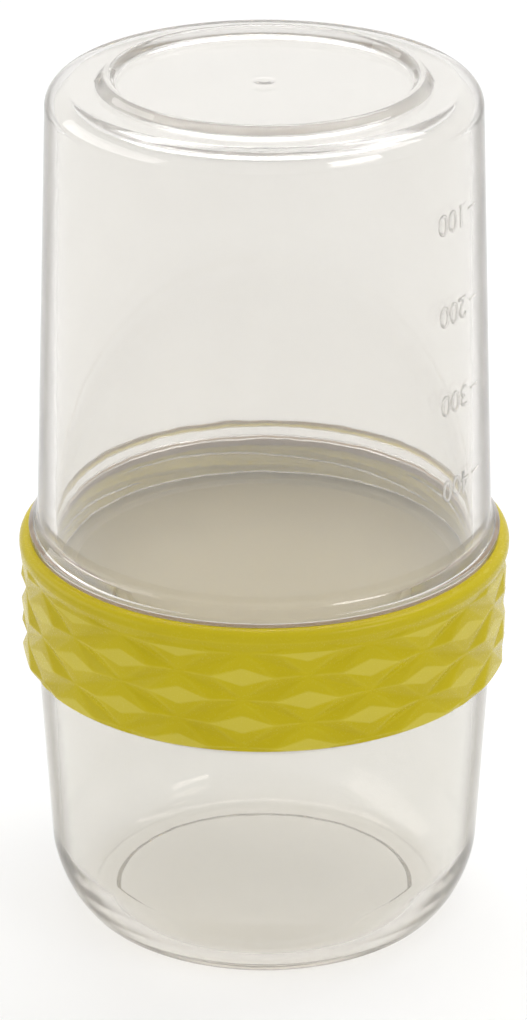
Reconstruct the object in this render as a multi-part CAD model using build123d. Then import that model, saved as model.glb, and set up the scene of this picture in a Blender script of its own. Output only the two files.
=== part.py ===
from build123d import *
import os
from math import acos, cos, radians, sin, tan

# Chip and dip server: a small cup for dip with a tall cup for chips screwed upside down above it.
# A faceted collar joins the two necks and carries the disc that keeps the two fillings apart.
# Millimetres, +Z up, origin at the middle of the face that the server stands on.

# Dip cup
dip_neck_radius = 45.5          # outside of the neck that screws into the collar
dip_neck_wall = 1.8
dip_height = 70.6               # standing face to rim
dip_shoulder_step = 1.3         # shoulder under the collar stands out from the neck by this
dip_wall_taper = 2.6            # shoulder in to where the wall would meet the bevelled corner
dip_wall = 2.3                  # at the foot of the wall
dip_floor = 2.8
dip_bevel_width = 6.2           # bevelled corner, measured inwards from the wall
dip_bevel_height = 7.7
dip_bevel_round = 21.0          # wide curve from the wall into the bevel
dip_standing_round = 4.5        # tight curve from the bevel to the table
dip_shoulder_round = 1.1
dip_standing_ring = 7.0         # bevel in to the hollow under the floor
dip_recess_depth = 0.8

# Chip cup, which stands on its rim, base upwards
chip_neck_inset = 0.7           # its neck is narrower than the dip cup's by this
chip_neck_wall = 1.8
chip_height = 104.5             # rim to the crest of the foot ring
chip_flange_cover = 0.7         # flange reaches past the seal's seat by this
chip_flange_reach = 1.8         # flange stands out from the wall by this
chip_flange_thickness = 1.8     # at its outer edge
chip_skirt_rise = 2.2           # slope from the flange's outer edge up to the wall
chip_skirt_fillet = 2.4         # hollow curve where that slope meets the wall
chip_wall_taper = 3.4           # flange in to where the wall would meet the base
chip_wall = 2.3                 # at the base end of the wall
chip_base = 2.6
chip_shoulder_round = 4.7
chip_foot_inset = 11.9          # wall in to the crest of the foot ring round the base
chip_foot_width = 3.6
chip_foot_crest = 1.4           # flat top of the foot ring
chip_foot_height = 1.7
chip_foot_round = 0.9           # soft edges of the foot ring

# Collar
collar_wall = 3.4               # lower socket out to the smooth lip
collar_lower_depth = 15.4       # ledge down to the bottom edge
collar_upper_depth = 9.5        # ledge up to the top edge
collar_ledge_width = 3.4        # ledge that the divider lies on, in from the upper socket
collar_ledge_thickness = 1.6
collar_seat_depth = 1.6         # widened mouth that holds the upper seal
collar_lip_round = 1.6
collar_lip_height = 2.3         # smooth band above the facets
collar_lip_fade = 2.2           # height over which the band runs out into the valleys
collar_bottom_round = 2.0

# Diamond facets round the collar
facet_count = 12                # diamonds in one row
facet_row_pitch = 5.17          # height from one row of diamonds to the next, half a diamond
facet_top_row = 4.6             # collar top edge down to the middle of the highest whole row
facet_turn = 10.0               # degrees from the front to the first diamond of that row
facet_setback = 0.15            # side corners of each raised flat lie this far inside the lip
facet_depth = 0.75              # side corners of a flat down to where four valleys meet
facet_flat_width = 0.48         # flat's share of the diamond's width
facet_flat_height = 0.37        # flat's share of the diamond's height

# Divider and seals
divider_thickness = 1.8
divider_panel_inset = 1.8       # ledge in to the dished middle of the disc
divider_panel_drop = 0.8
lower_seal_thickness = 1.2
lower_seal_width = 2.3
upper_seal_width = 1.9

# Clearances
thread_room = 1.1               # neck to socket, for the thread ridges
neck_gap = 0.5                  # collar bottom edge to the dip cup's shoulder
flange_gap = 0.2                # collar top edge to the chip cup's flange
rim_gap = 0.3                   # divider to the chip cup's rim
disc_gap = 0.3                  # divider's edge to its socket
seal_gap = 0.3                  # seals to the round walls beside them
edge_round = 0.4                # moulded edges

# Radii, worked out from the dip cup's neck
dip_shoulder_radius = dip_neck_radius + dip_shoulder_step
dip_bevel_radius = dip_shoulder_radius - dip_wall_taper
dip_standing_radius = dip_bevel_radius - dip_bevel_width
dip_recess_radius = dip_standing_radius - dip_standing_ring
collar_lower_bore = dip_neck_radius + thread_room
collar_radius = collar_lower_bore + collar_wall
facet_corner_radius = collar_radius - facet_setback
facet_valley_radius = facet_corner_radius - facet_depth
chip_neck_radius = dip_neck_radius - chip_neck_inset
collar_upper_bore = chip_neck_radius + thread_room
collar_ledge_radius = collar_upper_bore - collar_ledge_width
collar_seat_radius = chip_neck_radius + upper_seal_width + 2 * seal_gap
chip_flange_radius = collar_seat_radius + chip_flange_cover
chip_wall_flange_radius = chip_flange_radius - chip_flange_reach
chip_wall_top_radius = chip_wall_flange_radius - chip_wall_taper
chip_foot_radius = chip_wall_top_radius - chip_foot_inset
divider_panel_radius = collar_ledge_radius - divider_panel_inset

# Heights of the faces where the pieces meet
ledge_bottom = dip_height + lower_seal_thickness
ledge_top = ledge_bottom + collar_ledge_thickness
collar_bottom = ledge_bottom - collar_lower_depth
collar_top = ledge_top + collar_upper_depth
divider_top = ledge_top + divider_thickness
chip_rim = divider_top + rim_gap
flange_bottom = collar_top + flange_gap
flange_top = flange_bottom + chip_flange_thickness
skirt_top = flange_top + chip_skirt_rise
seat_floor = collar_top - collar_seat_depth
chip_top = chip_rim + chip_height
chip_base_face = chip_top - chip_foot_height
dip_shoulder = collar_bottom - neck_gap


def turned(*corners):
    """Solid turned about Z from a closed outline of (radius, height, rounding) corners."""
    count = len(corners)
    points = [Vector(radius, height) for radius, height, _ in corners]
    ahead = [points[(i + 1) % count] - points[i] for i in range(count)]
    bends = []
    for i in range(count):
        before, after = ahead[i - 1].normalized(), ahead[i].normalized()
        bends.append(acos(max(-1.0, min(1.0, before.dot(after)))))
    reach = [corners[i][2] * tan(bends[i] / 2) for i in range(count)]
    # Two roundings that share a short side shrink together until they meet on it
    shares = []
    for i in range(count):
        wanted = reach[i] + reach[(i + 1) % count]
        shares.append(1.0 if wanted <= ahead[i].length else ahead[i].length / wanted)
    reach = [reach[i] * min(shares[i - 1], shares[i]) for i in range(count)]

    edges = []
    for i in range(count):
        j = (i + 1) % count
        along = ahead[i].normalized()
        start = points[i] + along * reach[i]
        end = points[j] - along * reach[j]
        if (end - start).length > 1e-6:
            edges.append(Line(start, end))
        if reach[j] > 0:
            leaving = points[j] + ahead[j].normalized() * reach[j]
            edges.append(TangentArc(end, leaving, tangent=along))
    return revolve(Plane.XZ * make_face(edges), Axis.Z)


def build_dip_cup():
    neck_bore = dip_neck_radius - dip_neck_wall
    inner_foot = dip_bevel_radius - dip_wall
    inner_rise = dip_bevel_height + dip_wall
    recess_slope = dip_recess_depth
    return turned(
        (0, dip_recess_depth, 0),
        (dip_recess_radius - recess_slope, dip_recess_depth, edge_round),
        (dip_recess_radius, 0, edge_round),
        (dip_standing_radius, 0, dip_standing_round),
        (dip_bevel_radius, dip_bevel_height, dip_bevel_round),
        (dip_shoulder_radius, dip_shoulder, dip_shoulder_round),
        (dip_neck_radius, dip_shoulder, edge_round),
        (dip_neck_radius, dip_height, edge_round),
        (neck_bore, dip_height, edge_round),
        (inner_foot, inner_rise, dip_bevel_round - dip_wall),
        (dip_standing_radius - dip_wall, dip_floor, dip_standing_round),
        (0, dip_floor, 0),
    )


def build_chip_cup():
    neck_bore = chip_neck_radius - chip_neck_wall
    inner_top = chip_base_face - chip_base
    foot_inner = chip_foot_radius - chip_foot_width / 2
    foot_outer = chip_foot_radius + chip_foot_width / 2
    crest = chip_foot_crest / 2
    return turned(
        (0, inner_top, 0),
        (chip_wall_top_radius - chip_wall, inner_top, chip_shoulder_round - chip_wall),
        (neck_bore, chip_rim, edge_round),
        (chip_neck_radius, chip_rim, edge_round),
        (chip_neck_radius, flange_bottom, 0),
        (chip_flange_radius, flange_bottom, edge_round),
        (chip_flange_radius, flange_top, edge_round),
        (chip_wall_flange_radius, skirt_top, chip_skirt_fillet),
        (chip_wall_top_radius, chip_base_face, chip_shoulder_round),
        (foot_outer, chip_base_face, chip_foot_round),
        (chip_foot_radius + crest, chip_top, chip_foot_round),
        (chip_foot_radius - crest, chip_top, chip_foot_round),
        (foot_inner, chip_base_face, chip_foot_round),
        (0, chip_base_face, 0),
    )


def facet_barrel():
    """Closed barrel of raised diamonds, taller than the collar at both ends."""
    half_turn = 180.0 / facet_count
    flat_turn = half_turn * facet_flat_width
    flat_rise = facet_row_pitch * facet_flat_height
    flat_radius = facet_corner_radius * cos(radians(flat_turn))
    top_row = collar_top - facet_top_row
    rows_up = int((collar_top - top_row) / facet_row_pitch) + 1
    rows_down = int((top_row - collar_bottom) / facet_row_pitch) + 1

    def point(radius, turn, height):
        angle = radians(turn)
        return (radius * sin(angle), -radius * cos(angle), height)

    faces = []
    rims = {rows_up: [], -rows_down: []}
    for row in range(-rows_down, rows_up + 1):
        middle = top_row + row * facet_row_pitch
        first = facet_turn + (half_turn if row % 2 else 0.0)
        for cell in range(facet_count):
            turn = first + 2 * half_turn * cell
            flat = [point(facet_corner_radius, turn + flat_turn, middle)]
            flat.append(point(flat_radius, turn, middle + flat_rise))
            flat.append(point(facet_corner_radius, turn - flat_turn, middle))
            flat.append(point(flat_radius, turn, middle - flat_rise))
            valley = [point(facet_valley_radius, turn + half_turn, middle)]
            valley.append(point(facet_valley_radius, turn, middle + facet_row_pitch))
            valley.append(point(facet_valley_radius, turn - half_turn, middle))
            valley.append(point(facet_valley_radius, turn, middle - facet_row_pitch))
            corners = [flat]
            # Each slope is folded along the line from the flat's side corner to the upper or lower valley
            for side, tip in ((0, 1), (2, 1), (2, 3), (0, 3)):
                corners.append([flat[side], flat[tip], valley[tip]])
                corners.append([flat[side], valley[tip], valley[side]])
            faces += [Face(Wire.make_polygon(loop)) for loop in corners]
            if row in rims:
                tip = valley[1] if row == rows_up else valley[3]
                rims[row] += [(valley[2], tip), (tip, valley[0])]
    for row, edges in rims.items():
        apex = (0, 0, top_row + 2 * row * facet_row_pitch)
        faces += [Face(Wire.make_polygon([start, end, apex])) for start, end in edges]
    return Solid(Shell(faces))


def build_collar():
    envelope = turned(
        (0, collar_bottom, 0),
        (collar_radius, collar_bottom, collar_bottom_round),
        (collar_radius, collar_top, collar_lip_round),
        (0, collar_top, 0),
    )
    # The smooth lip runs out into the valleys along a shallow cone
    lip_foot = collar_top - collar_lip_height - collar_lip_fade
    fade_slope = (collar_radius - facet_valley_radius) / collar_lip_fade
    lip_over = collar_top + collar_lip_height
    lip = turned(
        (collar_ledge_radius, lip_over, 0),
        (facet_valley_radius + fade_slope * (lip_over - lip_foot), lip_over, 0),
        (facet_valley_radius, lip_foot, 0),
        (collar_ledge_radius, lip_foot, 0),
    )
    below = collar_bottom - collar_bottom_round
    above = collar_top + collar_lip_round
    sockets = turned(
        (0, below, 0),
        (collar_lower_bore, below, 0),
        (collar_lower_bore, ledge_bottom, 0),
        (collar_ledge_radius, ledge_bottom, 0),
        (collar_ledge_radius, ledge_top, 0),
        (collar_upper_bore, ledge_top, 0),
        (collar_upper_bore, seat_floor, 0),
        (collar_seat_radius, seat_floor, 0),
        (collar_seat_radius, above, 0),
        (0, above, 0),
    )
    return ((facet_barrel() + lip) & envelope) - sockets


def build_divider():
    edge = collar_upper_bore - disc_gap
    step = divider_panel_drop
    panel_top = divider_top - divider_panel_drop
    panel_bottom = ledge_top - divider_panel_drop
    return turned(
        (0, panel_bottom, 0),
        (divider_panel_radius, panel_bottom, edge_round),
        (divider_panel_radius + step, ledge_top, edge_round),
        (edge, ledge_top, edge_round),
        (edge, divider_top, edge_round),
        (divider_panel_radius, divider_top, edge_round),
        (divider_panel_radius - step, panel_top, edge_round),
        (0, panel_top, 0),
    )


def build_lower_seal():
    outer = collar_lower_bore - seal_gap
    return turned(
        (outer - lower_seal_width, dip_height, 0),
        (outer, dip_height, 0),
        (outer, ledge_bottom, 0),
        (outer - lower_seal_width, ledge_bottom, 0),
    )


def build_upper_seal():
    inner = chip_neck_radius + seal_gap
    return turned(
        (inner, seat_floor, 0),
        (inner + upper_seal_width, seat_floor, 0),
        (inner + upper_seal_width, flange_bottom, 0),
        (inner, flange_bottom, 0),
    )


pieces = {
    "dip_cup": build_dip_cup(),
    "lower_seal": build_lower_seal(),
    "collar": build_collar(),
    "divider": build_divider(),
    "upper_seal": build_upper_seal(),
    "chip_cup": build_chip_cup(),
}

os.makedirs("parts", exist_ok=True)
for name, piece in pieces.items():
    export_step(piece, f"parts/{name}.step")
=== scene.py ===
from math import acos, atan2, cos, floor, hypot, pi, radians, sin, tan, tau

import bmesh
import bpy
from mathutils import Matrix, Vector


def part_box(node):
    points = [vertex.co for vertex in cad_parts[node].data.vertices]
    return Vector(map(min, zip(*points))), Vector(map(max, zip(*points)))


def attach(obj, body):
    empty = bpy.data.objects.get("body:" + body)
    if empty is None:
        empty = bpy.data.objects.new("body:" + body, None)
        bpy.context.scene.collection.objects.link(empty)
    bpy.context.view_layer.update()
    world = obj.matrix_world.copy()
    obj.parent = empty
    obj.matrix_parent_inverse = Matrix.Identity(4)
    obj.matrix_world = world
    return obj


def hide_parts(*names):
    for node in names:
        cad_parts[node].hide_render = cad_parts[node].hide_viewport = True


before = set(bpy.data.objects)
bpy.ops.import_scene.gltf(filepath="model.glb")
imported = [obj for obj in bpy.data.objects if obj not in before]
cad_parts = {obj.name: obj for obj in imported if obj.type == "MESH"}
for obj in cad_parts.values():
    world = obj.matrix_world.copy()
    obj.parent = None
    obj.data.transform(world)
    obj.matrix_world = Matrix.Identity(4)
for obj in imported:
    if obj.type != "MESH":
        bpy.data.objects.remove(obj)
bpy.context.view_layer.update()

# Dip cup: the shallow clear cup that the whole server stands on, one injection moulding in clear plastic.
# Its wall leans out a little from a bevelled foot, and four short thread ridges run round its plain neck.
mm = 0.001
dip_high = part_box("dip_cup")[1]
dip_shoulder_radius = dip_high.x / mm
dip_rim = dip_high.z / mm
collar_low, collar_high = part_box("collar")
collar_gap = 0.5
dip_shoulder = collar_low.z / mm - collar_gap
dip_shoulder_step = 1.3
dip_neck_radius = dip_shoulder_radius - dip_shoulder_step
neck_wall = 1.8
dip_neck_bore = dip_neck_radius - neck_wall
dip_wall_lean = 2.6
dip_bevel_radius = dip_shoulder_radius - dip_wall_lean
dip_bevel_height = 7.7
dip_bevel_width = 6.2
dip_standing_radius = dip_bevel_radius - dip_bevel_width
dip_standing_width = 7.0
dip_recess_radius = dip_standing_radius - dip_standing_width
dip_recess = 0.8
cup_wall = 2.3
dip_floor = 2.8
dip_foot_round = 4.5
dip_bevel_round = 21.0
dip_shoulder_round = 1.1
moulded_edge = 0.4
thread_lead = 18.0
thread_starts = 4
ridge_height = 0.7
ridge_width = 1.7
ridge_fade = 0.6
dip_thread_rows = 34
dip_thread_bottom = dip_rim - 7.5
dip_thread_top = dip_rim - 1.5


def turned(outline, ring=False, columns=192, fine=()):
    """A mesh turned about the upright axis from corners of (radius, height, rounding) in millimetres.
    A ring's outline closes on itself, and fine names (first corner, cuts) of sides that get many rows.
    One sector is spun and then doubled until it closes, so the columns are a multiple of the sectors.
    The attribute outside is 1 on walls that face away from the axis."""
    sectors = 32
    merge_distance = 1e-6
    mesh = bmesh.new()
    corners = [mesh.verts.new((radius * mm, 0, height * mm)) for radius, height, _ in outline]
    places = [corner.co.copy() for corner in corners]
    count = len(corners)
    for i in range(count if ring else count - 1):
        mesh.edges.new((corners[i], corners[(i + 1) % count]))
    for i, (_, _, rounding) in enumerate(outline):
        if not rounding:
            continue
        before = (places[i] - places[i - 1]).normalized()
        after = (places[(i + 1) % count] - places[i]).normalized()
        bend = acos(max(-1.0, min(1.0, before.dot(after))))
        corner = min(mesh.verts, key=lambda vert: (vert.co - places[i]).length)
        room = 0.98 * min(edge.calc_length() for edge in corner.link_edges)
        steps = 4 if rounding < moulded_edge else 3 + int(bend * 5) + (6 if rounding > 1 else 0)
        bmesh.ops.bevel(mesh, geom=[corner], offset=min(rounding * mm * tan(bend / 2), room),
                        offset_type="OFFSET", segments=steps, profile=0.5, affect="VERTICES", material=-1)
    for i, cuts in fine:
        middle = (places[i] + places[(i + 1) % count]) / 2
        side = min(mesh.edges, key=lambda edge: ((edge.verts[0].co + edge.verts[1].co) / 2 - middle).length)
        bmesh.ops.subdivide_edges(mesh, edges=[side], cuts=cuts)
    turn = tau / sectors
    bmesh.ops.spin(mesh, geom=mesh.verts[:] + mesh.edges[:], cent=(0, 0, 0), axis=(0, 0, 1), dvec=(0, 0, 0),
                   angle=turn, steps=columns // sectors, use_merge=False, use_duplicate=False)
    while turn < 0.9 * tau:
        copy = bmesh.ops.duplicate(mesh, geom=mesh.verts[:] + mesh.edges[:] + mesh.faces[:])["geom"]
        bmesh.ops.rotate(mesh, cent=(0, 0, 0), matrix=Matrix.Rotation(turn, 3, "Z"),
                         verts=[part for part in copy if isinstance(part, bmesh.types.BMVert)])
        turn *= 2
    bmesh.ops.remove_doubles(mesh, verts=mesh.verts[:], dist=merge_distance)
    bmesh.ops.recalc_face_normals(mesh, faces=mesh.faces[:])
    mesh.normal_update()
    outside = mesh.verts.layers.float.new("outside")
    for vert in mesh.verts:
        reach = hypot(vert.co.x, vert.co.y)
        if reach > 0.0:
            vert[outside] = max(0.0, (vert.normal.x * vert.co.x + vert.normal.y * vert.co.y) / reach)
    return mesh


def placed(name, mesh, body, slot, material, *nodes):
    """Makes the finished mesh an object that rides on its body in place of its CAD nodes."""
    for face in mesh.faces:
        face.smooth = True
    data = bpy.data.meshes.new(name)
    mesh.to_mesh(data)
    mesh.free()
    piece = bpy.data.objects.new(name, data)
    bpy.context.scene.collection.objects.link(piece)
    data.materials.append(material)
    even_shading = piece.modifiers.new("even_shading", "WEIGHTED_NORMAL")
    even_shading.weight = 80
    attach(piece, body)
    if nodes:
        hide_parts(*nodes)


def thread(mesh, radius, outwards, bottom, top, phase):
    """Raises short helical ridges on the turned wall of that radius, between two heights."""
    wall_tolerance = 0.02
    pitch = thread_lead / thread_starts
    for vert in mesh.verts:
        wall = hypot(vert.co.x, vert.co.y) / mm
        height = vert.co.z / mm
        if abs(wall - radius) > wall_tolerance or not bottom < height < top:
            continue
        turn = atan2(vert.co.y, vert.co.x) / tau
        along = (height - thread_lead * turn) / pitch + phase
        off = abs(along - floor(along) - 0.5) * pitch
        crest = min(1.0, max(0.0, (ridge_width / 2 - off) / (ridge_width / 4)))
        ends = min(1.0, (height - bottom) / ridge_fade, (top - height) / ridge_fade)
        grown = wall + outwards * ridge_height * crest * max(0.0, ends)
        vert.co.x *= grown / wall
        vert.co.y *= grown / wall


def clear_plastic(name, tint, streak, edge, clearness, gloss, scuffed):
    """Clear moulded plastic, slightly hazy, with soft flow waves and painted shade where an outer wall is
    seen edge on.
    It is scuffed dull up to the first height in scuffed, and clean from the second one on."""
    material = bpy.data.materials.new(name)
    material.use_nodes = True
    nodes, links = material.node_tree.nodes, material.node_tree.links
    shader = nodes["Principled BSDF"]
    shader.inputs["Transmission Weight"].default_value = clearness
    shader.inputs["IOR"].default_value = 1.5
    place = nodes.new("ShaderNodeTexCoord")
    flow = nodes.new("ShaderNodeTexNoise")
    flow.inputs["Scale"].default_value = 90.0
    flow.inputs["Detail"].default_value = 2.0
    links.new(place.outputs["Object"], flow.inputs["Vector"])
    colour = nodes.new("ShaderNodeMix")
    colour.data_type = "RGBA"
    colour.inputs[6].default_value = (*tint, 1.0)
    colour.inputs[7].default_value = (*streak, 1.0)
    links.new(flow.outputs["Fac"], colour.inputs[0])
    # Painted shade: where an outer wall is seen edge on, the base colour turns towards the dark edge colour.
    slant = nodes.new("ShaderNodeLayerWeight")
    slant.inputs["Blend"].default_value = 0.5
    edge_shade_mask = nodes.new("ShaderNodeMapRange")
    edge_shade_mask.interpolation_type = "SMOOTHSTEP"
    edge_shade_mask.inputs["From Min"].default_value = 0.62
    edge_shade_mask.inputs["From Max"].default_value = 0.78
    links.new(slant.outputs["Facing"], edge_shade_mask.inputs["Value"])
    outer = nodes.new("ShaderNodeAttribute")
    outer.attribute_name = "outside"
    edge_shade_on_wall = nodes.new("ShaderNodeMath")
    edge_shade_on_wall.operation = "MULTIPLY"
    links.new(edge_shade_mask.outputs["Result"], edge_shade_on_wall.inputs[0])
    links.new(outer.outputs["Fac"], edge_shade_on_wall.inputs[1])
    painted_edge_shade = nodes.new("ShaderNodeMix")
    painted_edge_shade.data_type = "RGBA"
    painted_edge_shade.inputs[7].default_value = (*edge, 1.0)
    links.new(edge_shade_on_wall.outputs[0], painted_edge_shade.inputs[0])
    links.new(colour.outputs[2], painted_edge_shade.inputs[6])
    links.new(painted_edge_shade.outputs[2], shader.inputs["Base Color"])
    grain = nodes.new("ShaderNodeTexNoise")
    grain.inputs["Scale"].default_value = 1400.0
    grain.inputs["Detail"].default_value = 4.0
    links.new(place.outputs["Object"], grain.inputs["Vector"])
    apart = nodes.new("ShaderNodeSeparateXYZ")
    links.new(place.outputs["Object"], apart.inputs["Vector"])
    wear = nodes.new("ShaderNodeMapRange")
    wear.interpolation_type = "SMOOTHSTEP"
    wear.inputs["From Min"].default_value = scuffed[0] * mm
    wear.inputs["From Max"].default_value = scuffed[1] * mm
    wear.inputs["To Min"].default_value = 0.14
    wear.inputs["To Max"].default_value = 0.012
    links.new(apart.outputs["Z"], wear.inputs["Value"])
    rough = nodes.new("ShaderNodeMath")
    rough.operation = "MULTIPLY_ADD"
    rough.inputs[2].default_value = gloss
    links.new(grain.outputs["Fac"], rough.inputs[0])
    links.new(wear.outputs["Result"], rough.inputs[1])
    links.new(rough.outputs[0], shader.inputs["Roughness"])
    wave = nodes.new("ShaderNodeBump")
    wave.inputs["Strength"].default_value = 0.06
    wave.inputs["Distance"].default_value = 0.0006
    links.new(flow.outputs["Fac"], wave.inputs["Height"])
    links.new(wave.outputs["Normal"], shader.inputs["Normal"])
    path = nodes.new("ShaderNodeLightPath")
    thin = nodes.new("ShaderNodeBsdfTransparent")
    thin.inputs["Color"].default_value = (0.86, 0.85, 0.83, 1.0)
    passes = nodes.new("ShaderNodeMixShader")
    links.new(path.outputs["Is Shadow Ray"], passes.inputs[0])
    links.new(shader.outputs["BSDF"], passes.inputs[1])
    links.new(thin.outputs["BSDF"], passes.inputs[2])
    links.new(passes.outputs["Shader"], nodes["Material Output"].inputs["Surface"])
    depth = nodes.new("ShaderNodeVolumeAbsorption")
    depth.inputs["Color"].default_value = (0.70, 0.62, 0.50, 1.0)
    depth.inputs["Density"].default_value = 10.0
    links.new(depth.outputs["Volume"], nodes["Material Output"].inputs["Volume"])
    return material


dip_clear = clear_plastic("dip_clear", (0.85, 0.84, 0.81), (0.88, 0.87, 0.845), (0.19, 0.17, 0.13),
                          0.95, 0.02, (0.0, 9.0))
dip_cup = turned([
    (0, dip_recess, 0),
    (dip_recess_radius - dip_recess, dip_recess, moulded_edge),
    (dip_recess_radius, 0, moulded_edge),
    (dip_standing_radius, 0, dip_foot_round),
    (dip_bevel_radius, dip_bevel_height, dip_bevel_round),
    (dip_shoulder_radius, dip_shoulder, dip_shoulder_round),
    (dip_neck_radius, dip_shoulder, moulded_edge),
    (dip_neck_radius, dip_rim, moulded_edge),
    (dip_neck_bore, dip_rim, moulded_edge),
    (dip_bevel_radius - cup_wall, dip_bevel_height + cup_wall, dip_bevel_round - cup_wall),
    (dip_standing_radius - cup_wall, dip_floor, dip_foot_round),
    (0, dip_floor, 0),
], fine=[(6, dip_thread_rows)])
thread(dip_cup, dip_neck_radius, 1, dip_thread_bottom, dip_thread_top, 0.0)
placed("dip_cup_moulding", dip_cup, "dip_cup", "clear_cup", dip_clear, "dip_cup")

# Lower seal: a flat ring of translucent silicone, stamped from sheet, that lies on the dip cup's rim; its
# dark brown is the seals' painted shade.
# The collar's inner ledge presses it down and carries it along when the collar is unscrewed.
low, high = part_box("lower_seal")
lower_seal_width = 2.3
seal_hair = 0.04
seal_round = 0.25


def silicone(name, colour):
    """Soft translucent silicone rubber with a dull powdery surface."""
    powder_shade = 0.9
    material = bpy.data.materials.new(name)
    material.use_nodes = True
    nodes, links = material.node_tree.nodes, material.node_tree.links
    shader = nodes["Principled BSDF"]
    shader.inputs["Transmission Weight"].default_value = 0.35
    shader.inputs["IOR"].default_value = 1.41
    place = nodes.new("ShaderNodeTexCoord")
    dust = nodes.new("ShaderNodeTexNoise")
    dust.inputs["Scale"].default_value = 900.0
    dust.inputs["Detail"].default_value = 5.0
    links.new(place.outputs["Object"], dust.inputs["Vector"])
    powder = nodes.new("ShaderNodeMix")
    powder.data_type = "RGBA"
    powder.inputs[6].default_value = (*[powder_shade * part for part in colour], 1.0)
    powder.inputs[7].default_value = (*colour, 1.0)
    links.new(dust.outputs["Fac"], powder.inputs[0])
    links.new(powder.outputs[2], shader.inputs["Base Color"])
    dull = nodes.new("ShaderNodeMapRange")
    dull.inputs["To Min"].default_value = 0.45
    dull.inputs["To Max"].default_value = 0.7
    links.new(dust.outputs["Fac"], dull.inputs["Value"])
    links.new(dull.outputs["Result"], shader.inputs["Roughness"])
    skin = nodes.new("ShaderNodeBump")
    skin.inputs["Strength"].default_value = 0.15
    skin.inputs["Distance"].default_value = 0.0002
    links.new(dust.outputs["Fac"], skin.inputs["Height"])
    links.new(skin.outputs["Normal"], shader.inputs["Normal"])
    return material


# The seals' dark brown is painted shade: seen through the chip cup's flange it darkens the band just above
# the collar.
seal_silicone_painted_shade = silicone("seal_silicone_painted_shade", (0.26, 0.15, 0.05))
lower_seal = turned([
    (high.x / mm - lower_seal_width, low.z / mm + seal_hair, seal_round),
    (high.x / mm, low.z / mm + seal_hair, seal_round),
    (high.x / mm, high.z / mm - seal_hair, seal_round),
    (high.x / mm - lower_seal_width, high.z / mm - seal_hair, seal_round),
], ring=True)
placed("lower_seal_ring", lower_seal, "lower_seal", "silicone", seal_silicone_painted_shade, "lower_seal")

# Collar: the coloured ring that joins the two cups, moulded in satin plastic with a diamond-faceted grip.
# It has a threaded socket at each end, a ledge between them for the divider and a seat for the upper seal.
collar_radius = collar_high.x / mm
collar_bottom = collar_low.z / mm
collar_top = collar_high.z / mm
collar_bottom_round = 2.0
collar_lip_round = 1.6
collar_mouth_round = 0.3
collar_inner_round = 0.2
thread_room = 1.1
lower_bore = dip_neck_radius + thread_room
ledge_thickness = 1.6
ledge_bottom = high.z / mm
ledge_top = ledge_bottom + ledge_thickness
chip_neck_step = 0.7
chip_neck_radius = dip_neck_radius - chip_neck_step
upper_bore = chip_neck_radius + thread_room
ledge_width = 3.4
ledge_radius = upper_bore - ledge_width
seat_width = 2.5
seat_radius = chip_neck_radius + seat_width
seat_depth = 1.6
seat_floor = collar_top - seat_depth
lower_thread_rows = 24
lower_thread_bottom = collar_bottom + 1.2
lower_thread_top = collar_bottom + 8.5
upper_thread_rows = 14
upper_thread_bottom = ledge_top + 2.6
upper_thread_top = seat_floor - 0.4
facet_count = 12
facet_pitch = 5.17
facet_half_turn = pi / facet_count
facet_top_row = collar_top - 4.6
facet_first = radians(10.0) - pi / 2
facet_setback = 0.15
facet_depth = 0.75
facet_corner_radius = collar_radius - facet_setback
facet_valley_radius = facet_corner_radius - facet_depth
facet_flat_turn = 0.48 * facet_half_turn
facet_flat_rise = 0.37 * facet_pitch
facet_flat_radius = facet_corner_radius * cos(facet_flat_turn)
facet_softness = 0.05
valley_softness = 0.30
lip_height = 2.3
lip_fade = 2.2
lip_foot = collar_top - lip_height - lip_fade
lip_softness = 0.12
grip_edge_softness = 0.06
grip_margin = 0.3
rows_per_facet = 20
grip_columns = 2 * facet_count * rows_per_facet
grip_rows = int((collar_top - collar_bottom) / facet_pitch * rows_per_facet)


def around(radius, turn, height):
    """The point at a radius, an angle from the middle of a diamond and a height."""
    return Vector((radius * sin(turn), radius * cos(turn), height))


facet_side = around(facet_corner_radius, facet_flat_turn, 0)
facet_tip = around(facet_flat_radius, 0, facet_flat_rise)
valley_side = around(facet_valley_radius, facet_half_turn, 0)
valley_tip = around(facet_valley_radius, 0, facet_pitch)
facet_planes = []
for a, b, c in ((facet_side, facet_tip, valley_tip), (facet_side, valley_tip, valley_side)):
    normal = (b - a).cross(c - a).normalized()
    facet_planes.append((normal, normal.dot(a)))


def soft_lower(a, b, softness):
    """The lower of two radii, with the crease between them rounded."""
    near = max(softness - abs(a - b), 0.0)
    return min(a, b) - near * near / (4 * softness)


def soft_higher(a, b, softness):
    """The higher of two radii, with the crease between them rounded."""
    return -soft_lower(-a, -b, softness)


def near_diamonds(turn, height):
    """The angle and height of a place from the middles of the nearest diamonds, in three rows."""
    row_here = round((height - facet_top_row) / facet_pitch)
    for row in (row_here - 1, row_here, row_here + 1):
        off = (turn - facet_first - (facet_half_turn if row % 2 else 0.0)) / (2 * facet_half_turn)
        yield abs(off - round(off)) * 2 * facet_half_turn, abs(height - facet_top_row - row * facet_pitch)


def diamond(across, up):
    """Radius of one raised diamond at an angle and height from its middle."""
    radius = facet_flat_radius / cos(across)
    for normal, reach in facet_planes:
        slope = (reach - normal.z * up) / (normal.x * sin(across) + normal.y * cos(across))
        radius = soft_lower(radius, slope, facet_softness)
    return radius


def grip(turn, height):
    """Radius of the whole grip: the highest of the diamonds near a place, under the smooth lip."""
    radius = 0.0
    for across, up in near_diamonds(turn, height):
        radius = soft_higher(radius, diamond(across, up), valley_softness)
    lip = facet_valley_radius + (collar_radius - facet_valley_radius) * (height - lip_foot) / lip_fade
    return soft_higher(radius, lip, lip_softness)


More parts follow.
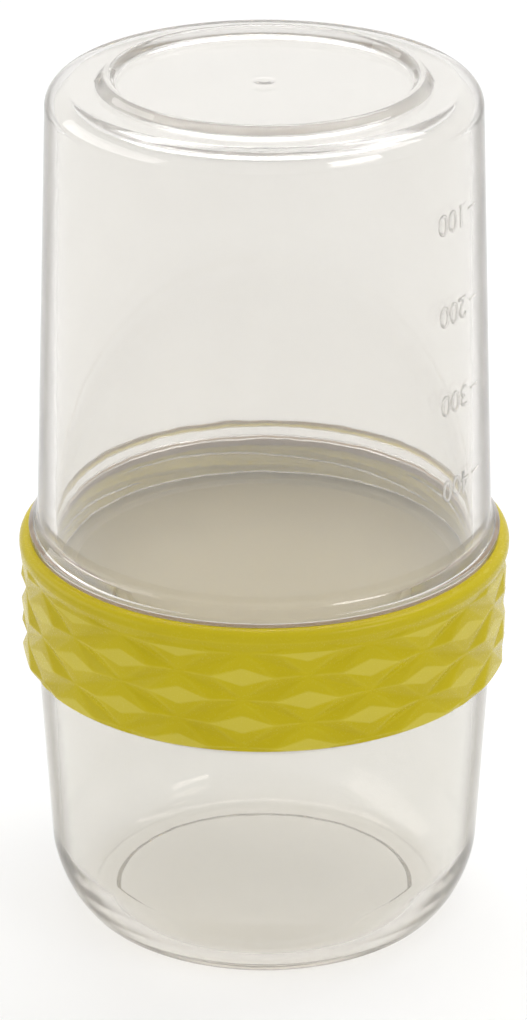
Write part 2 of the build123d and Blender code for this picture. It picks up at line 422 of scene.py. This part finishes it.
def painted_flat_highlight(turn, height):
    """How far a place lies on the raised flat of a diamond, from 0 to 1: the mask of the painted highlight
    there.
    """
    highlight_reach, highlight_fade = 1.06, 0.12
    share = 0.0
    for across, up in near_diamonds(turn, height):
        share = max(share, (highlight_reach - across / facet_flat_turn - up / facet_flat_rise) / highlight_fade)
    return min(1.0, share) if height < lip_foot else 0.0


def satin_plastic(name, colour, deep, wear_and_highlight_colour):
    """Dyed plastic with the even satin grain of a spark-eroded mould, paler along sharp edges as wear, with a
    painted highlight on the diamonds' raised flats.
    """
    material = bpy.data.materials.new(name)
    material.use_nodes = True
    nodes, links = material.node_tree.nodes, material.node_tree.links
    shader = nodes["Principled BSDF"]
    shader.inputs["IOR"].default_value = 1.49
    shader.inputs["Specular IOR Level"].default_value = 0.16
    place = nodes.new("ShaderNodeTexCoord")
    cloud = nodes.new("ShaderNodeTexNoise")
    cloud.inputs["Scale"].default_value = 55.0
    cloud.inputs["Detail"].default_value = 3.0
    links.new(place.outputs["Object"], cloud.inputs["Vector"])
    dye = nodes.new("ShaderNodeValToRGB")
    dye.color_ramp.elements[0].position = 0.3
    dye.color_ramp.elements[0].color = (*deep, 1.0)
    dye.color_ramp.elements[1].position = 0.7
    dye.color_ramp.elements[1].color = (*colour, 1.0)
    links.new(cloud.outputs["Fac"], dye.inputs["Fac"])
    edges = nodes.new("ShaderNodeNewGeometry")
    worn = nodes.new("ShaderNodeMapRange")
    worn.inputs["From Min"].default_value = 0.505
    worn.inputs["From Max"].default_value = 0.54
    worn.inputs["To Max"].default_value = 0.25
    links.new(edges.outputs["Pointiness"], worn.inputs["Value"])
    # Painted highlight: the diamonds' raised flats are mixed towards the pale colour, on top of the paler
    # wear along sharp edges.
    flat_highlight_mask = nodes.new("ShaderNodeAttribute")
    flat_highlight_mask.attribute_name = "painted_flat_highlight"
    wear_and_flat_highlight = nodes.new("ShaderNodeMath")
    wear_and_flat_highlight.operation = "MULTIPLY_ADD"
    wear_and_flat_highlight.inputs[1].default_value = 0.42
    links.new(flat_highlight_mask.outputs["Fac"], wear_and_flat_highlight.inputs[0])
    links.new(worn.outputs["Result"], wear_and_flat_highlight.inputs[2])
    wear_and_highlight_mix = nodes.new("ShaderNodeMix")
    wear_and_highlight_mix.data_type = "RGBA"
    wear_and_highlight_mix.inputs[7].default_value = (*wear_and_highlight_colour, 1.0)
    links.new(wear_and_flat_highlight.outputs[0], wear_and_highlight_mix.inputs[0])
    links.new(dye.outputs["Color"], wear_and_highlight_mix.inputs[6])
    links.new(wear_and_highlight_mix.outputs[2], shader.inputs["Base Color"])
    grain = nodes.new("ShaderNodeTexNoise")
    grain.inputs["Scale"].default_value = 2600.0
    grain.inputs["Detail"].default_value = 3.0
    links.new(place.outputs["Object"], grain.inputs["Vector"])
    satin = nodes.new("ShaderNodeMapRange")
    satin.inputs["To Min"].default_value = 0.20
    satin.inputs["To Max"].default_value = 0.32
    links.new(grain.outputs["Fac"], satin.inputs["Value"])
    links.new(satin.outputs["Result"], shader.inputs["Roughness"])
    tooth = nodes.new("ShaderNodeBump")
    tooth.inputs["Strength"].default_value = 0.08
    tooth.inputs["Distance"].default_value = 0.0001
    links.new(grain.outputs["Fac"], tooth.inputs["Height"])
    links.new(tooth.outputs["Normal"], shader.inputs["Normal"])
    return material


# The last colour serves both the edge wear and the painted highlight on the raised flats.
collar_green = satin_plastic("collar_green", (0.480, 0.392, 0.005), (0.444, 0.357, 0.004),
                             (0.61, 0.53, 0.10))
collar = turned([
    (lower_bore, collar_bottom, collar_mouth_round),
    (collar_radius, collar_bottom, collar_bottom_round),
    (collar_radius, collar_top, collar_lip_round),
    (seat_radius, collar_top, collar_mouth_round),
    (seat_radius, seat_floor, 0),
    (upper_bore, seat_floor, collar_inner_round),
    (upper_bore, ledge_top, 0),
    (ledge_radius, ledge_top, collar_inner_round),
    (ledge_radius, ledge_bottom, collar_inner_round),
    (lower_bore, ledge_bottom, 0),
], ring=True, columns=grip_columns, fine=[(1, grip_rows), (5, upper_thread_rows), (9, lower_thread_rows)])
cells = {}
# This layer holds the painted highlight on the diamonds' raised flats.
flat_highlight_layer = collar.verts.layers.float.new("painted_flat_highlight")
for vert in collar.verts:
    reach, turn, height = hypot(vert.co.x, vert.co.y) / mm, atan2(vert.co.y, vert.co.x), vert.co.z / mm
    if reach > facet_valley_radius - grip_margin and collar_bottom < height < collar_top:
        share = round(((turn - facet_first) / (2 * facet_half_turn)) % 1.0, 4) % 1.0
        cell = (share, round(height, 3))
        if cell not in cells:
            cell_turn = facet_first + share * 2 * facet_half_turn
            cells[cell] = grip(cell_turn, height), painted_flat_highlight(cell_turn, height)
        grip_radius, vert[flat_highlight_layer] = cells[cell]
        grown = soft_lower(reach, grip_radius, grip_edge_softness)
        vert.co.x *= grown / reach
        vert.co.y *= grown / reach
thread(collar, lower_bore, -1, lower_thread_bottom, lower_thread_top, 0.5)
thread(collar, upper_bore, -1, upper_thread_bottom, upper_thread_top, 0.5)
placed("collar_grip", collar, "collar", "green_collar", collar_green, "collar")

# Divider: a thin loose disc of hazy plastic that lies on the collar's ledge and keeps the two cups apart.
# It is moulded with a dished middle and a flat rim, and the chip cup's rim holds it down.
low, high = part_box("divider")
divider_radius = high.x / mm
divider_drop = 0.8
divider_clearance = 1.8
divider_panel = ledge_radius - divider_clearance
divider_top = high.z / mm
divider_bottom = low.z / mm
# The disc's dark olive tone stands partly for a dip lying beneath it and is partly painted shade of the
# closed server's inside.
divider_clear = clear_plastic("divider_clear", (0.46, 0.405, 0.26), (0.50, 0.445, 0.30), (0.42, 0.37, 0.25),
                              0.72, 0.30, (0.0, 1.0))
divider = turned([
    (0, divider_bottom, 0),
    (divider_panel, divider_bottom, moulded_edge),
    (divider_panel + divider_drop, divider_bottom + divider_drop, moulded_edge),
    (divider_radius, divider_bottom + divider_drop, moulded_edge),
    (divider_radius, divider_top, moulded_edge),
    (divider_panel, divider_top, moulded_edge),
    (divider_panel - divider_drop, divider_top - divider_drop, moulded_edge),
    (0, divider_top - divider_drop, 0),
])
placed("divider_disc", divider, "collar", "clear_disc", divider_clear, "divider")

# Upper seal: a square ring of the same silicone, stretched round the chip cup's neck under its flange; its
# dark brown is painted shade for the gap under the flange.
# It sits in the widened mouth of the collar and comes away with the cup.
low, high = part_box("upper_seal")
upper_seal_width = 1.9
seal_squeeze = 0.02
upper_seal = turned([
    (high.x / mm - upper_seal_width, low.z / mm + seal_hair, seal_round),
    (high.x / mm, low.z / mm + seal_hair, seal_round),
    (high.x / mm, high.z / mm + seal_squeeze, seal_round),
    (high.x / mm - upper_seal_width, high.z / mm + seal_squeeze, seal_round),
], ring=True)
placed("upper_seal_ring", upper_seal, "upper_seal", "silicone", seal_silicone_painted_shade, "upper_seal")

# Chip cup: the tall clear cup, moulded in one shot of the same plastic and standing on its rim, base upwards.
# A flange stops it on the collar, a low foot ring runs round its base, and the sprue left a nub in the
# middle. Four short ticks of the mould show on the foot ring, and level marks stand proud of the wall.
low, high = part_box("chip_cup")
chip_rim = low.z / mm
chip_top = high.z / mm
chip_flange_radius = high.x / mm
flange_width = 1.8
chip_wall_flange = chip_flange_radius - flange_width
chip_wall_lean = 3.4
chip_wall_top = chip_wall_flange - chip_wall_lean
foot_inset = 11.9
chip_foot_radius = chip_wall_top - foot_inset
foot_height = 1.7
chip_base_face = chip_top - foot_height
chip_base_thickness = 2.6
chip_inner_top = chip_base_face - chip_base_thickness
flange_thickness = 1.8
flange_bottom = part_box("upper_seal")[1].z / mm
flange_top = flange_bottom + flange_thickness
skirt_height = 2.2
skirt_top = flange_top + skirt_height
chip_inner_round = 2.4
skirt_round = 2.4
chip_shoulder_round = 4.7
foot_half, crest_half, foot_round = 1.8, 0.7, 0.9
nub_radius, nub_flat_radius, nub_round = 2.4, 1.2, 2.0
nub_shoulder, nub_height = 0.12, 0.14
tick_height = 0.35
tick_share = 0.002
tick_bottom = chip_base_face - 0.2
chip_thread_rows = 20
chip_thread_bottom = chip_rim + 0.8
chip_thread_top = chip_rim + 5.2
chip_clear = clear_plastic("chip_clear", (0.85, 0.84, 0.82), (0.88, 0.87, 0.85), (0.19, 0.17, 0.14),
                           0.92, 0.02, (76.0, 80.0))
chip_cup = turned([
    (0, chip_inner_top, 0),
    (chip_wall_top - cup_wall, chip_inner_top, chip_inner_round),
    (chip_neck_radius - neck_wall, chip_rim, moulded_edge),
    (chip_neck_radius, chip_rim, moulded_edge),
    (chip_neck_radius, flange_bottom, 0),
    (chip_flange_radius, flange_bottom, moulded_edge),
    (chip_flange_radius, flange_top, moulded_edge),
    (chip_wall_flange, skirt_top, skirt_round),
    (chip_wall_top, chip_base_face, chip_shoulder_round),
    (chip_foot_radius + foot_half, chip_base_face, foot_round),
    (chip_foot_radius + crest_half, chip_top, foot_round),
    (chip_foot_radius - crest_half, chip_top, foot_round),
    (chip_foot_radius - foot_half, chip_base_face, foot_round),
    (nub_radius, chip_base_face, nub_round),
    (nub_flat_radius, chip_base_face + nub_shoulder, nub_round),
    (0, chip_base_face + nub_height, 0),
], columns=384, fine=[(3, chip_thread_rows)])
thread(chip_cup, chip_neck_radius, 1, chip_thread_bottom, chip_thread_top, 0.0)
for vert in chip_cup.verts:
    reach = hypot(vert.co.x, vert.co.y) / mm
    quarter = atan2(vert.co.y, vert.co.x) / (pi / 2)
    on_tick = abs(quarter - round(quarter)) < tick_share and vert.co.z / mm > tick_bottom
    if on_tick and 0.0 < reach - chip_foot_radius < foot_half + foot_round:
        vert.co.x *= (reach + tick_height) / reach
        vert.co.y *= (reach + tick_height) / reach
placed("chip_cup_moulding", chip_cup, "chip_cup", "clear_cup", chip_clear, "chip_cup")

mark_turn = radians(59.0)
mark_size = 6.4
mark_height = 0.18
mark_root = 0.05
mark_depths = ((100, 17.1), (200, 35.8), (300, 54.2), (400, 72.1))
level_frost = clear_plastic("level_frost", (0.93, 0.925, 0.91), (0.97, 0.965, 0.95), (0.5, 0.47, 0.42),
                            0.80, 0.25, (0.0, 1.0))
marks = bmesh.new()
for number, depth in mark_depths:
    words = bpy.data.curves.new("level_number", "FONT")
    words.body = f"\u2013 {number}"
    words.size = mark_size
    words.align_x, words.align_y = "CENTER", "CENTER"
    words.extrude = (mark_height + mark_root) / 2
    words.resolution_u = 4
    stamp = bpy.data.objects.new("level_number", words)
    digits = bpy.data.meshes.new_from_object(stamp)
    first = len(marks.verts)
    marks.from_mesh(digits)
    marks.verts.ensure_lookup_table()
    for vert in marks.verts[first:]:
        across, up, proud = vert.co
        height = chip_inner_top - depth - up
        lean = (chip_wall_top - chip_wall_flange) * (height - skirt_top) / (chip_base_face - skirt_top)
        wall = chip_wall_flange + lean
        turn = mark_turn - across / wall
        reach = wall - mark_root + proud + words.extrude
        vert.co = (reach * sin(turn) * mm, -reach * cos(turn) * mm, height * mm)
    bpy.data.objects.remove(stamp)
    bpy.data.meshes.remove(digits)
    bpy.data.curves.remove(words)
bmesh.ops.remove_doubles(marks, verts=marks.verts[:], dist=1e-6)
bmesh.ops.recalc_face_normals(marks, faces=marks.faces[:])
placed("chip_cup_level_marks", marks, "chip_cup", "clear_cup", level_frost)

# Studio: a wide pale floor just under the standing face, a soft grey-white room and three soft lamps.
# The camera stands in front, above the server, with a long lens.
floor_drop = 0.3
floor_lift = 0.4
floor_mesh = bmesh.new()
bmesh.ops.create_grid(floor_mesh, x_segments=8, y_segments=8, size=6.0)
bmesh.ops.translate(floor_mesh, verts=floor_mesh.verts[:], vec=(0, 0, -floor_drop * mm))
floor_data = bpy.data.meshes.new("studio_floor")
floor_mesh.to_mesh(floor_data)
floor_mesh.free()
studio_floor = bpy.data.objects.new("studio_floor", floor_data)
bpy.context.scene.collection.objects.link(studio_floor)
paper = bpy.data.materials.new("floor_paper")
paper.use_nodes = True
nodes, links = paper.node_tree.nodes, paper.node_tree.links
nodes.remove(nodes["Principled BSDF"])
matt = nodes.new("ShaderNodeBsdfDiffuse")
matt.inputs["Color"].default_value = (0.875, 0.875, 0.875, 1.0)
lifted = nodes.new("ShaderNodeEmission")
lifted.inputs["Strength"].default_value = 1.0


def seen_directly(nodes, links):
    """True for rays from the camera, and for those that clear or glossy plastic passes on to the camera."""
    path = nodes.new("ShaderNodeLightPath")
    seen = nodes.new("ShaderNodeMath")
    seen.operation = "MAXIMUM"
    links.new(path.outputs["Is Camera Ray"], seen.inputs[0])
    links.new(path.outputs["Is Glossy Ray"], seen.inputs[1])
    either = nodes.new("ShaderNodeMath")
    either.operation = "MAXIMUM"
    links.new(seen.outputs[0], either.inputs[0])
    links.new(path.outputs["Is Transmission Ray"], either.inputs[1])
    return either.outputs[0]


paler = nodes.new("ShaderNodeMath")
paler.operation = "MULTIPLY"
paler.inputs[1].default_value = floor_lift
links.new(seen_directly(nodes, links), paler.inputs[0])
shown = nodes.new("ShaderNodeMixShader")
links.new(paler.outputs[0], shown.inputs[0])
links.new(matt.outputs["BSDF"], shown.inputs[1])
links.new(lifted.outputs["Emission"], shown.inputs[2])
links.new(shown.outputs["Shader"], nodes["Material Output"].inputs["Surface"])
floor_data.materials.append(paper)

room = bpy.data.worlds.new("studio_room")
bpy.context.scene.world = room
room.use_nodes = True
nodes, links = room.node_tree.nodes, room.node_tree.links
light = nodes["Background"]
place = nodes.new("ShaderNodeTexCoord")
apart = nodes.new("ShaderNodeSeparateXYZ")
links.new(place.outputs["Generated"], apart.inputs["Vector"])
walls = nodes.new("ShaderNodeMapRange")
walls.interpolation_type = "SMOOTHSTEP"
walls.inputs["From Min"].default_value = -0.9
walls.inputs["From Max"].default_value = 0.3
links.new(apart.outputs["Y"], walls.inputs["Value"])
shades = nodes.new("ShaderNodeMix")
shades.data_type = "RGBA"
shades.inputs[6].default_value = (0.70, 0.695, 0.685, 1.0)
shades.inputs[7].default_value = (0.50, 0.50, 0.495, 1.0)
links.new(walls.outputs["Result"], shades.inputs[0])
backdrop = nodes.new("ShaderNodeMix")
backdrop.data_type = "RGBA"
backdrop.inputs[7].default_value = (1.0, 1.0, 1.0, 1.0)
links.new(seen_directly(nodes, links), backdrop.inputs[0])
links.new(shades.outputs[2], backdrop.inputs[6])
links.new(backdrop.outputs[2], light.inputs["Color"])


def softbox(name, place, aim, width, height, watts):
    """A large soft lamp that faces the server."""
    lamp = bpy.data.lights.new(name, "AREA")
    lamp.shape = "RECTANGLE"
    lamp.size, lamp.size_y = width, height
    lamp.energy = watts
    stand = bpy.data.objects.new(name, lamp)
    stand.location = place
    stand.rotation_euler = (Vector(aim) - Vector(place)).to_track_quat("-Z", "Y").to_euler()
    bpy.context.scene.collection.objects.link(stand)


server_middle = (0, 0, 0.09)
softbox("back_softbox", (0.15, 0.42, 1.05), server_middle, 1.2, 0.5, 9.0)
softbox("side_softbox", (-1.0, 0.0, 0.48), server_middle, 1.5, 0.5, 4.2)
softbox("fill_softbox", (0.73, -0.61, 0.70), server_middle, 0.5, 0.34, 3.4)

lens = bpy.data.cameras.new("studio_camera")
lens.sensor_width = 36.0
lens.lens = 146.745
camera = bpy.data.objects.new("studio_camera", lens)
camera.location = (-0.00016, -0.77153, 0.436648)
camera_tilt = 0.426
camera.rotation_euler = (pi / 2 - camera_tilt, 0, 0)
bpy.context.scene.collection.objects.link(camera)
bpy.context.scene.camera = camera
light_paths = bpy.context.scene.cycles
light_paths.max_bounces = 32
light_paths.glossy_bounces = light_paths.transmission_bounces = 24
bpy.context.scene.view_settings.view_transform = "Standard"
